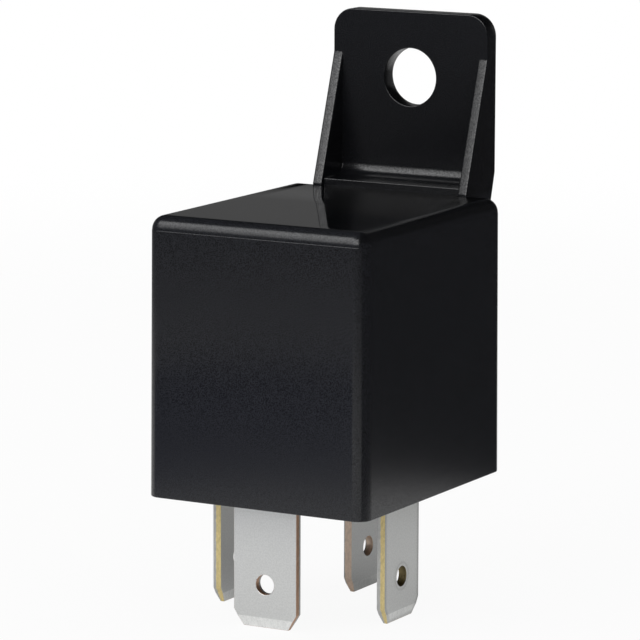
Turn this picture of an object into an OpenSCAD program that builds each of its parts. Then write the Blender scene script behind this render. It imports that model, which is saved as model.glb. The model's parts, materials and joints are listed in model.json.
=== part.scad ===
// Plug-in automotive relay: four 6.3 mm blades, one normally open contact, a screw bracket on its cover.
// The origin is below the centre of the whole relay, at the level of the blade tips.
// X runs along the wide face, Y from the front to the bracket, Z from the blade tips up.

/* [Cover] */
// Width of the cover at its open end
body_w = 22; // [20.5:0.1:30]
// Depth of the cover at its open end
body_d = 26; // [25:0.1:32]
// Height of the cover without its bracket
body_h = 25; // [22:0.1:34]
// Thickness of the side walls
wall = 1.2; // [0.8:0.05:1.4]
// Thickness of the roof
roof = 1.3; // [0.9:0.05:2]
// Radius of the upright and top edges
edge_r = 1.3; // [0.6:0.05:2.5]
// How far each side leans in from the open end to the roof
draft = 0.12; // [0.05:0.01:0.3]

/* [Bracket] */
// Width of the screw plate
bracket_w = 15.9; // [12:0.1:18]
// Thickness of the screw plate
bracket_t = 1.7; // [1.2:0.05:2.4]
// Height of the screw plate above the roof
bracket_rise = 16; // [14:0.1:20]
// Distance from the back of the cover to the front of the screw plate
bracket_offset = 2.3; // [1.5:0.05:3]
// Radius of the screw plate's top corners
bracket_corner_r = 2; // [1:0.1:4]
// Diameter of the screw hole
hole_d = 5.3; // [4:0.1:6.4]
// Height of the screw hole above the roof
hole_rise = 10; // [8:0.1:11]
// Thickness of each gusset
gusset_t = 0.85; // [0.6:0.05:1.4]
// Height of the gussets above the roof
gusset_rise = 12; // [6:0.1:13.5]
// Length of each gusset's foot in front of the screw plate
gusset_reach = 3.95; // [3:0.05:5]
// Height of the upright toe of each gusset
gusset_toe = 0.15; // [0.05:0.05:0.4]
// Height of the step between the gussets
foot_step = 0.65; // [0.3:0.05:1]
// How far the front of that step stands behind the gussets' toes
foot_setback = 0.5; // [0:0.1:1]
// Radius of the hollow between the step and the screw plate
foot_fillet = 1.25; // [0.8:0.05:2]
// Height above the roof at which the plate's back starts to lean in
lean_rise = 1.65; // [1:0.05:3]
// Lean of the plate's back below that height, in degrees
lean_angle = 16; // [8:1:25]
// Depth of the bracket's root below the roof
root_drop = 4.5; // [3:0.1:6]

/* [Blades] */
// Width of a blade
blade_w = 6.3; // [5.8:0.1:6.3]
// Thickness of a blade
blade_t = 0.8; // [0.6:0.05:0.9]
// Length of a blade below the cover
blade_drop = 11; // [9:0.1:14]
// Diameter of the latching hole in a blade
blade_hole_d = 1.8; // [1.2:0.1:2.4]
// Distance of the latching hole below the cover
blade_hole_drop = 7.1; // [5:0.1:8]
// Clearance between a coil blade and the cover's side wall
coil_wall_gap = 1.05; // [0.95:0.05:1.2]
// How far the coil blades stand in front of the coil's axis
coil_blade_lead = 1.1; // [0.5:0.1:1.5]
// Clearance between the common blade and the cover's back wall
common_wall_gap = 1.55; // [1.4:0.05:1.7]
// Clearance between the switched blade and the cover's front wall
switched_wall_gap = 0.8; // [0.7:0.05:0.9]
// Width of a coil blade's post, which holds the coil's lead
post_w = 1; // [0.8:0.1:1.2]
// Height of a coil blade's post above the base
post_rise = 5.6; // [4.8:0.1:6.4]
// Height of the common blade's riser above the base
riser_rise = 4.4; // [3.6:0.1:5]
// Width of the corner cut at a blade's tip
tip_cut_w = 0.9; // [0.4:0.1:1.4]
// Height of the corner cut at a blade's tip
tip_cut_h = 1.45; // [0.8:0.05:2]
// Height of the bevels on a tip's two faces
tip_bevel_h = 0.9; // [0.5:0.1:1.4]
// Thickness left at the end of a bevelled tip
tip_end_t = 0.4; // [0.3:0.05:0.6]

/* [Base] */
// Thickness of the base
base_t = 3; // [2.5:0.1:4]
// How far the base lies inside the cover's open end
base_recess = 0.3; // [0:0.1:1]
// Gap between the base and the cover all round
base_gap = 0.08; // [0.04:0.01:0.2]
// Gap round each blade in its slot
slot_gap = 0.05; // [0.02:0.01:0.1]

/* [Magnet] */
// Thickness of the yoke
yoke_t = 1.5; // [1.2:0.1:1.8]
// Width of the yoke
yoke_w = 12; // [10:0.1:13]
// Diameter of the core
core_d = 6; // [5:0.1:7]
// Diameter of the pole face on the core
pole_d = 8.4; // [7.4:0.1:9.5]
// Thickness of the pole face
pole_t = 1; // [0.8:0.1:1.5]
// Thickness of the bobbin's barrel
barrel_t = 0.8; // [0.6:0.05:1.1]
// Thickness of the bobbin's flanges
flange_t = 1.2; // [1.1:0.1:1.6]
// Clearance between the bobbin's flanges and the coil blades
flange_side_gap = 0.75; // [0.5:0.05:1]
// Clearance between the bobbin's flanges and the switched blade
flange_front_gap = 2.1; // [1.6:0.1:2.4]
// How far the flanges stand out beyond the winding
flange_rim = 0.7; // [0.5:0.1:1.5]
// Thickness of the tape round the winding
tape_t = 0.12; // [0.08:0.01:0.2]
// Diameter of a coil lead with its enamel
lead_d = 0.3; // [0.2:0.05:0.35]

/* [Armature] */
// Thickness of the armature
armature_t = 1.2; // [1:0.1:1.5]
// Width of the armature
armature_w = 11.4; // [10:0.1:12]
// Angle through which the armature closes, in degrees
closing_angle = 3.2; // [2:0.1:4]
// Gap between the armature and what it seats on
seat_gap = 0.03; // [0.02:0.01:0.06]
// Gap between the armature's notches and the yoke's ears
notch_gap = 0.15; // [0.1:0.01:0.3]
// Thickness of the metal strap that stops the open armature
stop_t = 0.8; // [0.6:0.05:1]
// Gap between the stop strap and the roof
headroom = 0.3; // [0.2:0.05:1]
// Width of the armature's tail, which hangs on the spring
tail_w = 3.6; // [3:0.1:4.4]
// Width of each ear of the yoke beside the armature
ear_w = 1.5; // [1.2:0.1:1.8]

/* [Contacts] */
// Width of the contact leaf
leaf_w = 4.6; // [4:0.1:5.6]
// Thickness of the contact leaf
leaf_t = 0.3; // [0.2:0.05:0.4]
// Diameter of the contact heads
contact_d = 2.6; // [2:0.1:2.8]
// Thickness of the contact heads
contact_head_t = 0.5; // [0.4:0.05:0.7]
// Diameter of the contact shanks
contact_shank_d = 1.4; // [1:0.1:1.6]
// Diameter of the rivet pins that hold the leaf
pin_d = 1.6; // [1.2:0.1:2]
// Distance between the two rivet pins
pin_pitch = 4.8; // [4:0.1:5.4]
// Clearance between the armature and the moving contact
contact_clearance = 0.7; // [0.5:0.05:0.9]

/* [Return spring] */
// Outer diameter of the spring
spring_d = 2.6; // [2.4:0.1:2.8]
// Diameter of the spring wire
spring_wire_d = 0.45; // [0.35:0.05:0.5]
// Number of turns
spring_turns = 12; // [8:1:14]
// Clearance between the common blade's riser and the yoke's lug, which holds the spring
lug_gap = 1.3; // [1:0.1:2]

/* [Flexible lead] */
// Diameter of the stranded lead between the common blade and the leaf
strand_d = 1.4; // [1:0.1:1.6]
// How far the lead bows out to the side of its ends
lead_bow = 2.6; // [2:0.1:3]

/* [Hidden] */

// Smoothness of round forms and of blended corners
round_fn = 64;
blend_fn = 32;
// Overlap that joins or cuts cleanly
eps = 0.01;

// Depth of the whole relay, and the shift that centres it on the origin
plate_front_y = body_d / 2 + bracket_offset;
bracket_back_y = plate_front_y + bracket_t;
centre_y = (body_d / 2 - bracket_back_y) / 2;

// Inside of the cover
inner_w = body_w - 2 * wall;
inner_d = body_d - 2 * wall;
inner_back_y = inner_d / 2;
ceiling_z = body_h - roof;

// Levels of the stack, counted from the cover's open end
base_top_z = base_recess + base_t;
yoke_floor_z = base_top_z + yoke_t;
stop_bottom_z = ceiling_z - headroom - stop_t;

// Blade places, each from the wall beside it
coil_blade_pitch = inner_w - 2 * coil_wall_gap - blade_t;
common_blade_y = inner_back_y - common_wall_gap - blade_w / 2;
switched_blade_y = inner_d / 2 - switched_wall_gap - blade_t / 2;
switched_back_y = -switched_blade_y + blade_t / 2;

// Back to front: spring, yoke, coil
spring_gap = 0.3;
spring_rear_gap = 1;
spring_y = inner_back_y - spring_rear_gap - spring_d / 2;
spring_r = (spring_d - spring_wire_d) / 2;
yoke_back_y = spring_y - spring_d / 2 - spring_gap;
yoke_front_y = yoke_back_y - yoke_t;
coil_gap = 0.1;
flange_front_y = switched_back_y + flange_front_gap;
flange_d = yoke_front_y - coil_gap - flange_front_y;
flange_w = coil_blade_pitch - blade_t - 2 * flange_side_gap;
coil_y = flange_front_y + flange_d / 2;
coil_d = min(flange_w, flange_d) - 2 * flange_rim;
coil_blade_y = coil_blade_lead - coil_y;

// Rivet end of the core, and its pocket in the base
spigot_shoulder = 0.8;
core_spigot_d = core_d - 2 * spigot_shoulder;
rivet_head_t = 0.5;
rivet_lap = 0.4;
rivet_pocket_gap = 0.2;

// Contacts, with the rims of shelf and leaf round their heads
bend_r = 0.4;
head_rim = 0.1;
crown = 0.15;
contact_y = switched_back_y + bend_r + contact_d / 2 + head_rim;
shelf_end_y = contact_y + contact_d / 2 + 2 * head_rim;
leaf_front_y = contact_y - contact_d / 2 - head_rim;

// Armature: flat on the pole face when closed, and turned up by the closing angle at rest
armature_front_y = contact_y + contact_d / 2 + contact_clearance;
stop_y = armature_front_y - 0.2;
open_lift = (yoke_back_y - stop_y) * tan(closing_angle) + 0.01;
pole_z = stop_bottom_z - seat_gap - open_lift - leaf_t - armature_t - seat_gap;
armature_z = pole_z + seat_gap;
leaf_z = armature_z + armature_t;
bobbin_h = pole_z - pole_t - yoke_floor_z;
bobbin_top_z = yoke_floor_z + bobbin_h;
floor_setback = 0.3;

// Bobbin, winding, and its bare ends below and above the tape; the coil leads leave it below
barrel_fit = 0.05;
flange_corner_r = 1.2;
winding_low_z = yoke_floor_z + flange_t;
winding_high_z = bobbin_top_z - flange_t;
tape_margin = 0.6;
tape_top_margin = 0.2;

// End of the armature's tail, and the yoke's lug at the other end of the spring
tail_end_y = spring_y + spring_r - spring_wire_d / 2 - 0.12;
hook_hole_d = spring_wire_d + 0.5;
lug_t = 0.8;
lug_w = 2.4;

// Legs of the stop strap, beside the armature
stop_leg_w = 0.8;
stop_leg_drop = 0.9;
stop_leg_x = armature_w / 2 + 0.25 + stop_leg_w / 2;

// Shelf under the contacts, back end of the leaf and its rivet pins
shelf_top_z = leaf_z - 2 * contact_head_t - seat_gap;
leaf_back_y = yoke_back_y - 1;
pin_head_t = 0.4;
pin_head_lap = 0.5;
pin_places = [coil_y - pin_pitch / 2, coil_y + pin_pitch / 2];

// Base and terminals
base_corner_r = 0.6;
collar_h = 0.25;
collar_w = 0.7;
collar_side = 0.6;
collar_size = [blade_w + 2 * collar_w, blade_t + 2 * collar_side];
shoulder_h = 0.8;
post_top_z = base_top_z + post_rise;
riser_front_y = yoke_back_y + 0.35;
common_back_y = common_blade_y + blade_w / 2;
riser_top_z = base_top_z + riser_rise;
lug_z = riser_top_z + lug_gap;
cap_t = 0.6;
foot_w = 2;
foot_x = 3.4;
foot_drop = 1.6;

// The frame of the cover, with its open end at z = 0
module in_cover_frame() {
    translate([0, centre_y, blade_drop])
        children();
}

// A box given by its lowest and highest corners
module box(low, high) {
    translate(low)
        cube(high - low);
}

// A profile in Y and Z, extruded along X and centred on it
module across(width) {
    translate([-width / 2, 0, 0])
        rotate([90, 0, 90])
            linear_extrude(width)
                children();
}

// A profile in X and Z, extruded backwards from the plane y = front
module behind(front, thickness) {
    translate([0, front + thickness, 0])
        rotate([90, 0, 0])
            linear_extrude(thickness)
                children();
}

// A rectangle with round corners, centred
module rounded_rect(w, d, r) {
    square([w - 2 * r, d], center = true);
    square([w, d - 2 * r], center = true);
    for (x = [-1, 1], y = [-1, 1])
        translate([x * (w / 2 - r), y * (d / 2 - r)])
            circle(r = r, $fn = round_fn);
}

// A box whose four sides lean in by lean from z = low to z = high, with round upright and top edges
module leaning_box(w, d, low, high, r, lean) {
    hull() {
        for (x = [-1, 1], y = [-1, 1]) {
            translate([x * (w / 2 - r), y * (d / 2 - r), low])
                cylinder(r = r, h = eps, $fn = blend_fn);
            translate([x * (w / 2 - lean - r), y * (d / 2 - lean - r), high - r])
                sphere(r = r, $fn = blend_fn);
        }
    }
}

// What fills a right-angled corner up to a hollow arc; the corner lies at the origin
module hollow_corner(r) {
    difference() {
        translate([-r, -eps])
            square(r + eps);
        translate([-r, r])
            circle(r = r, $fn = round_fn);
    }
}

// The bracket's foot between the gussets: a step on the roof with a hollow fillet up to the plate
module bracket_foot() {
    floor_z = body_h + foot_step;
    front_y = plate_front_y - gusset_reach + foot_setback;
    across(bracket_w - 2 * gusset_t) {
        polygon([
            [front_y, body_h - roof / 2], [front_y, floor_z],
            [plate_front_y + bracket_t / 2, floor_z], [plate_front_y + bracket_t / 2, body_h - roof / 2]
        ]);
        translate([plate_front_y, floor_z])
            hollow_corner(foot_fillet);
    }
}

// The bracket's root: a back that leans in to the cover's back
module bracket_root() {
    under_roof_z = body_h - roof / 2;
    lean_bottom_z = body_h - root_drop + bracket_offset;
    lean_in = (body_h + lean_rise - lean_bottom_z) * tan(lean_angle);
    wall_y = body_d / 2 - draft;
    inside_y = wall_y - wall / 2;
    across(bracket_w)
        polygon([
            [plate_front_y, under_roof_z], [plate_front_y, body_h + lean_rise],
            [bracket_back_y, body_h + lean_rise], [bracket_back_y - lean_in, lean_bottom_z],
            [wall_y, body_h - root_drop], [inside_y, body_h - root_drop], [inside_y, under_roof_z]
        ]);
}

// The screw plate with its hole
module bracket_plate() {
    low_z = body_h + lean_rise;
    top_z = body_h + bracket_rise;
    behind(plate_front_y, bracket_t)
        difference() {
            union() {
                translate([0, (low_z + top_z) / 2])
                    rounded_rect(bracket_w, top_z - low_z, bracket_corner_r);
                translate([-bracket_w / 2, low_z])
                    square([bracket_w, bracket_corner_r]);
            }
            translate([0, body_h + hole_rise])
                circle(d = hole_d, $fn = round_fn);
        }
}

// The two triangular gussets, flush with the plate's sides
module gussets() {
    for (side = [-1, 1])
        translate([side * (bracket_w - gusset_t) / 2, 0, 0])
            across(gusset_t)
                polygon([
                    [plate_front_y - gusset_reach, body_h - roof / 2],
                    [plate_front_y - gusset_reach, body_h + gusset_toe],
                    [plate_front_y, body_h + gusset_rise],
                    [plate_front_y + bracket_t / 2, body_h + gusset_rise],
                    [plate_front_y + bracket_t / 2, body_h - roof / 2]
                ]);
}

// The moulded cover: a drafted box open below, with the bracket on its back edge
module cover() {
    color([0.13, 0.14, 0.15])
        in_cover_frame() {
            difference() {
                leaning_box(body_w, body_d, 0, body_h, edge_r, draft);
                translate([0, 0, -eps])
                    leaning_box(inner_w, inner_d, 0, ceiling_z + eps, max(edge_r - wall, 0.2), draft);
            }
            bracket_foot();
            bracket_root();
            bracket_plate();
            gussets();
        }
}

// Places of the four blades: x, y and the turn about Z that brings a blade's width to X
function blade_place(name) =
    name == "85" ? [coil_blade_pitch / 2, -coil_blade_y, 90] :
    name == "86" ? [-coil_blade_pitch / 2, -coil_blade_y, 90] :
    name == "30" ? [0, common_blade_y, 90] : [0, -switched_blade_y, 0];

module at_blade(name) {
    place = blade_place(name);
    translate([place[0], place[1], 0])
        rotate([0, 0, place[2]])
            children();
}

// A blade below the level top, with cut corners, bevelled faces and a latching hole
module blade(top) {
    half = blade_w / 2;
    intersection() {
        behind(-blade_t / 2, blade_t)
            difference() {
                polygon([
                    [-half, top], [half, top], [half, tip_cut_h - blade_drop],
                    [half - tip_cut_w, -blade_drop], [tip_cut_w - half, -blade_drop],
                    [-half, tip_cut_h - blade_drop]
                ]);
                translate([0, -blade_hole_drop])
                    circle(d = blade_hole_d, $fn = round_fn);
            }
        across(blade_w + 1)
            polygon([
                [-blade_t, top + 1], [blade_t, top + 1], [blade_t, tip_bevel_h - blade_drop],
                [blade_t / 2, tip_bevel_h - blade_drop], [tip_end_t / 2, -blade_drop],
                [-tip_end_t / 2, -blade_drop], [-blade_t / 2, tip_bevel_h - blade_drop],
                [-blade_t, tip_bevel_h - blade_drop]
            ]);
    }
}

// The moulded base: a plate with blade slots, pockets for the yoke's feet and one for the core's rivet
module base() {
    color([0.16, 0.16, 0.17])
        in_cover_frame()
            difference() {
                union() {
                    translate([0, 0, base_recess])
                        linear_extrude(base_t)
                            rounded_rect(
                                inner_w - 2 * (base_gap + draft), inner_d - 2 * (base_gap + draft),
                                base_corner_r
                            );
                    for (name = ["85", "86", "30", "87"])
                        at_blade(name)
                            translate([0, 0, base_recess - collar_h])
                                linear_extrude(collar_h + eps)
                                    square(collar_size, center = true);
                }
                for (name = ["85", "86", "87"])
                    at_blade(name)
                        blade_slot(base_top_z + eps);
                at_blade("30")
                    blade_slot(base_top_z - cap_t);
                box([-blade_t / 2 - slot_gap, riser_front_y - slot_gap, base_recess],
                    [blade_t / 2 + slot_gap, common_back_y + slot_gap, base_top_z + eps]);
                for (side = [-1, 1])
                    box([side * foot_x - foot_w / 2 - slot_gap, yoke_front_y - slot_gap,
                         base_top_z - foot_drop - slot_gap],
                        [side * foot_x + foot_w / 2 + slot_gap, yoke_back_y + slot_gap, base_top_z + eps]);
                translate([0, coil_y, base_top_z - rivet_head_t - rivet_pocket_gap])
                    cylinder(
                        d = core_spigot_d + 2 * (rivet_lap + rivet_pocket_gap),
                        h = rivet_head_t + rivet_pocket_gap + eps, $fn = round_fn
                    );
            }
}

// A slot for a blade, from below the base up to the level top
module blade_slot(top) {
    box([-blade_w / 2 - slot_gap, -blade_t / 2 - slot_gap, -1],
        [blade_w / 2 + slot_gap, blade_t / 2 + slot_gap, top]);
}

// A coil terminal: a blade with a shoulder on the base and a post for the coil's lead
module coil_terminal(name) {
    color([0.78, 0.77, 0.74])
        in_cover_frame()
            at_blade(name) {
                blade(base_top_z);
                behind(-blade_t / 2, blade_t)
                    polygon([
                        [-blade_w / 2, base_top_z - eps], [blade_w / 2, base_top_z - eps],
                        [blade_w / 2, base_top_z + shoulder_h], [post_w / 2, base_top_z + 2 * shoulder_h],
                        [post_w / 2, post_top_z], [-post_w / 2, post_top_z],
                        [-post_w / 2, base_top_z + 2 * shoulder_h], [-blade_w / 2, base_top_z + shoulder_h]
                    ]);
            }
}

// The common terminal: its blade stops inside the base, and a narrow riser stands behind the yoke
module common_terminal() {
    color([0.78, 0.77, 0.74])
        in_cover_frame() {
            at_blade("30")
                blade(base_top_z - cap_t - slot_gap);
            box([-blade_t / 2, riser_front_y, base_recess], [blade_t / 2, common_back_y, riser_top_z]);
        }
}

// The switched terminal: a blade that rises past the coil and bends in to a shelf for the fixed contact
module switched_terminal() {
    back = switched_back_y;
    front = back - blade_t;
    color([0.78, 0.77, 0.74])
        in_cover_frame() {
            at_blade("87")
                blade(base_top_z);
            difference() {
                across(blade_w) {
                    translate([front, base_top_z - eps])
                        square([blade_t, shelf_top_z - blade_t - bend_r - base_top_z + 2 * eps]);
                    translate([back + bend_r, shelf_top_z - blade_t])
                        square([shelf_end_y - back - bend_r, blade_t]);
                    intersection() {
                        translate([front, shelf_top_z - blade_t - bend_r])
                            square(blade_t + bend_r + eps);
                        translate([back + bend_r, shelf_top_z - blade_t - bend_r])
                            difference() {
                                circle(r = bend_r + blade_t, $fn = round_fn);
                                circle(r = bend_r, $fn = round_fn);
                            }
                    }
                }
                translate([0, contact_y, shelf_top_z - blade_t - eps])
                    cylinder(d = contact_shank_d, h = blade_t + 2 * eps, $fn = round_fn);
            }
        }
}

// The L-shaped yoke: a floor under the coil, an upright leg, ears at its top, feet, and the spring's lug
module yoke() {
    color([0.62, 0.63, 0.65])
        in_cover_frame()
            difference() {
                union() {
                    box([-yoke_w / 2, armature_front_y + floor_setback, base_top_z],
                        [yoke_w / 2, yoke_back_y, yoke_floor_z]);
                    behind(yoke_front_y, yoke_t)
                        yoke_leg_outline();
                    box([-lug_w / 2, yoke_back_y - eps, lug_z], [lug_w / 2, tail_end_y, lug_z + lug_t]);
                }
                translate([0, coil_y, base_top_z - eps])
                    cylinder(d = core_spigot_d, h = yoke_t + 2 * eps, $fn = round_fn);
                translate([0, spring_y - spring_r, lug_z - eps])
                    cylinder(d = hook_hole_d, h = lug_t + 2 * eps, $fn = round_fn);
            }
}

module yoke_leg_outline() {
    translate([-yoke_w / 2, base_top_z])
        square([yoke_w, pole_z - base_top_z]);
    for (side = [-1, 1]) {
        translate([side * (yoke_w - ear_w) / 2 - ear_w / 2, pole_z - eps])
            square([ear_w, armature_t]);
        translate([side * foot_x - foot_w / 2, base_top_z - foot_drop])
            square([foot_w, foot_drop + eps]);
    }
}

// The turned core: a rivet through the yoke's floor, a shaft and a wide pole face
module core() {
    spigot_r = core_spigot_d / 2;
    edge = 0.15;
    color([0.66, 0.67, 0.69])
        in_cover_frame()
            translate([0, coil_y, 0])
                rotate_extrude($fn = round_fn)
                    polygon([
                        [0, base_top_z - rivet_head_t], [spigot_r + rivet_lap, base_top_z - rivet_head_t],
                        [spigot_r + rivet_lap, base_top_z], [spigot_r, base_top_z],
                        [spigot_r, yoke_floor_z], [core_d / 2, yoke_floor_z],
                        [core_d / 2, bobbin_top_z], [pole_d / 2, bobbin_top_z],
                        [pole_d / 2, pole_z - edge], [pole_d / 2 - edge, pole_z], [0, pole_z]
                    ]);
}

// The moulded bobbin: a barrel between two square flanges, with sockets for the stop strap
module bobbin() {
    color([0.2, 0.2, 0.22])
        in_cover_frame()
            difference() {
                union() {
                    translate([0, coil_y, yoke_floor_z])
                        cylinder(d = core_d + 2 * barrel_t, h = bobbin_h, $fn = round_fn);
                    for (z = [yoke_floor_z, bobbin_top_z - flange_t])
                        translate([0, coil_y, z])
                            linear_extrude(flange_t)
                                rounded_rect(flange_w, flange_d, flange_corner_r);
                }
                translate([0, coil_y, yoke_floor_z - eps])
                    cylinder(d = core_d + 2 * barrel_fit, h = bobbin_h + 2 * eps, $fn = round_fn);
                for (side = [-1, 1])
                    translate([side * stop_leg_x, stop_y + stop_t / 2, bobbin_top_z - stop_leg_drop])
                        linear_extrude(stop_leg_drop + eps)
                            square([stop_leg_w + 2 * slot_gap, stop_t + 2 * slot_gap], center = true);
            }
}

// The winding, one solid of enamelled wire between the flanges
module coil_winding() {
    color([0.72, 0.36, 0.18])
        in_cover_frame()
            translate([0, coil_y, 0])
                ring(core_d / 2 + barrel_t, coil_d / 2 - tape_t, winding_low_z, winding_high_z);
}

// The tape round the winding
module coil_tape() {
    color([0.85, 0.72, 0.2])
        in_cover_frame()
            translate([0, coil_y, 0])
                ring(
                    coil_d / 2 - tape_t, coil_d / 2, winding_low_z + tape_margin,
                    winding_high_z - tape_top_margin
                );
}

// A tube about Z between two radii and two levels
module ring(r_in, r_out, low, high) {
    rotate_extrude($fn = round_fn)
        translate([r_in, low])
            square([r_out - r_in, high - low]);
}

// Route of a coil lead: along the winding's foot, up beside it and round the terminal's post
lead_r = coil_d / 2 - tape_t + lead_d / 2 + 0.02;
lead_z = winding_low_z + lead_d / 2 + 0.02;
wrap_r = norm([post_w, blade_t]) / 2 + lead_d / 2 + 0.02;
wrap_turns = 4;
wrap_steps = 12;
wrap_pitch = lead_d + 0.03;
wrap_z = post_top_z - wrap_turns * wrap_pitch - lead_d;
post_x = coil_blade_pitch / 2;

function round_winding(angle) = [lead_r * cos(angle), coil_y + lead_r * sin(angle), lead_z];
function wrap_point(turns) = [
    post_x - wrap_r * cos(360 * turns), -coil_blade_y - wrap_r * sin(360 * turns),
    wrap_z + turns * wrap_pitch
];

coil_lead_route = concat(
    smooth_route([
        round_winding(42), round_winding(31), [1.04 * lead_r, coil_y + 0.38 * lead_r, lead_z + lead_d],
        [post_x - 1.1 * wrap_r, -coil_blade_y + 2 * wrap_r, wrap_z - 1.5 * lead_d], wrap_point(0)
    ], 4),
    [for (i = [1:wrap_turns * wrap_steps]) wrap_point(i / wrap_steps)]
);

// A coil lead, on the right as drawn and mirrored for the left
module coil_lead(mirrored) {
    color([0.75, 0.4, 0.2])
        in_cover_frame()
            mirror([mirrored, 0, 0])
                tube(coil_lead_route, lead_d, 8, [0, 0, 1]);
}

// The metal strap that stops the open armature: an arch whose legs stand in the bobbin's top flange
module open_stop() {
    low = bobbin_top_z - stop_leg_drop;
    half = stop_leg_x + stop_leg_w / 2;
    color([0.7, 0.7, 0.72])
        in_cover_frame()
            behind(stop_y, stop_t)
                difference() {
                    translate([-half, low])
                        square([2 * half, stop_bottom_z + stop_t - low]);
                    translate([stop_leg_w - half, low - eps])
                        square([2 * (half - stop_leg_w), stop_bottom_z - low + eps]);
                }
}

// Brings the closed armature group to its open place at rest
module opened() {
    translate([0, yoke_back_y, pole_z])
        rotate([-closing_angle, 0, 0])
            translate([0, -yoke_back_y, -pole_z])
                children();
}

// The armature: a plate with notches for the yoke's ears, a tail for the spring and two rivet pins
module armature() {
    notch_in = ear_w + notch_gap - (yoke_w - armature_w) / 2;
    color([0.64, 0.65, 0.67])
        in_cover_frame()
            opened() {
                difference() {
                    translate([0, 0, armature_z])
                        linear_extrude(armature_t)
                            difference() {
                                union() {
                                    translate([-armature_w / 2, armature_front_y])
                                        square([armature_w, yoke_back_y - armature_front_y]);
                                    translate([-tail_w / 2, yoke_back_y - eps])
                                        square([tail_w, tail_end_y - yoke_back_y + eps]);
                                }
                                for (side = [0, 1])
                                    mirror([side, 0, 0])
                                        translate([armature_w / 2 - notch_in, yoke_front_y - notch_gap])
                                            square([notch_in + 1, yoke_t + 1]);
                            }
                    translate([0, spring_y - spring_r, armature_z - eps])
                        cylinder(d = hook_hole_d, h = armature_t + 2 * eps, $fn = round_fn);
                }
                for (y = pin_places)
                    translate([0, y, leaf_z - eps]) {
                        cylinder(d = pin_d, h = leaf_t + 2 * eps, $fn = round_fn);
                        translate([0, 0, leaf_t + eps])
                            cylinder(
                                d1 = pin_d + 2 * pin_head_lap, d2 = pin_d + 0.8 * pin_head_lap,
                                h = pin_head_t, $fn = round_fn
                            );
                    }
            }
}

// The contact leaf: a thin strip under two rivet heads, with the moving contact in its tip
module contact_leaf() {
    color([0.8, 0.5, 0.3])
        in_cover_frame()
            opened()
                translate([0, 0, leaf_z])
                    linear_extrude(leaf_t)
                        difference() {
                            union() {
                                translate([-leaf_w / 2, contact_y])
                                    square([leaf_w, leaf_back_y - contact_y]);
                                translate([0, contact_y])
                                    circle(d = leaf_w, $fn = round_fn);
                            }
                            for (y = pin_places)
                                translate([0, y])
                                    circle(d = pin_d, $fn = round_fn);
                            translate([0, contact_y])
                                circle(d = contact_shank_d, $fn = round_fn);
                            translate([-leaf_w, leaf_front_y - leaf_w])
                                square([2 * leaf_w, leaf_w]);
                        }
}

// A contact rivet: a crowned head above z = 0, a shank through what it holds and a closed end below
module contact_rivet(held_t, end_h) {
    head_r = contact_d / 2;
    shank_r = contact_shank_d / 2;
    rotate_extrude($fn = round_fn)
        polygon([
            [0, contact_head_t], [head_r - crown, contact_head_t], [head_r, contact_head_t - crown],
            [head_r, 0], [shank_r, 0], [shank_r, -held_t], [shank_r + 0.3, -held_t],
            [shank_r + 0.1, -held_t - end_h], [0, -held_t - end_h]
        ]);
}

// The moving contact, with its head under the leaf
module moving_contact() {
    color([0.86, 0.86, 0.84])
        in_cover_frame()
            opened()
                translate([0, contact_y, leaf_z])
                    mirror([0, 0, 1])
                        contact_rivet(leaf_t, 0.25);
}

// The fixed contact, with its head on the switched terminal's shelf
module fixed_contact() {
    color([0.86, 0.86, 0.84])
        in_cover_frame()
            translate([0, contact_y, shelf_top_z])
                contact_rivet(blade_t, 0.2);
}

function unit(v) = v / norm(v);

// Direction of a route at its point i
function heading(route, i) = unit(route[min(i + 1, len(route) - 1)] - route[max(i - 1, 0)]);

// What is left of a direction once its share along another is taken out
function square_to(v, along) = unit(v - (v * along) * along);

// Sideways directions carried along a route without twisting
function sideways(route, first) = [
    for (i = 0, side = square_to(first, heading(route, 0)); i < len(route);
         i = i + 1, side = i < len(route) ? square_to(side, heading(route, i)) : side)
        side
];

// A round tube along a route, as one closed surface
module tube(route, d, sides, first) {
    side = sideways(route, first);
    last = len(route) - 1;
    points = [
        for (i = [0:last])
            let (ahead = heading(route, i), across = cross(ahead, side[i]))
                for (k = [0:sides - 1])
                    route[i] + d / 2 * (cos(360 * k / sides) * side[i] + sin(360 * k / sides) * across)
    ];
    walls = [
        for (i = [0:last - 1], k = [0:sides - 1])
            let (next = (k + 1) % sides)
                [i * sides + k, (i + 1) * sides + k, (i + 1) * sides + next, i * sides + next]
    ];
    ends = [[for (k = [0:sides - 1]) k], [for (k = [sides - 1:-1:0]) last * sides + k]];
    polyhedron(points = points, faces = concat(walls, ends), convexity = 10);
}

// Route of the spring's wire: hook below the lug, turns, hook over the armature's tail
hook_steps = 8;
turn_steps = 14;
hook_centre_low_z = lug_z + spring_wire_d;
hook_centre_high_z = armature_z - (spring_y - yoke_back_y) * sin(closing_angle) + armature_t - 0.58;
turns_low_z = lug_z + lug_t + 0.6;
turns_high_z = armature_z - 0.75;

function hook_point(angle, centre_z) = [
    0, spring_y + spring_r * cos(angle), centre_z + spring_r * sin(angle)
];
function turn_point(share) = [
    spring_r * sin(360 * spring_turns * share), spring_y + spring_r * cos(360 * spring_turns * share),
    turns_low_z + share * (turns_high_z - turns_low_z)
];

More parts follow.
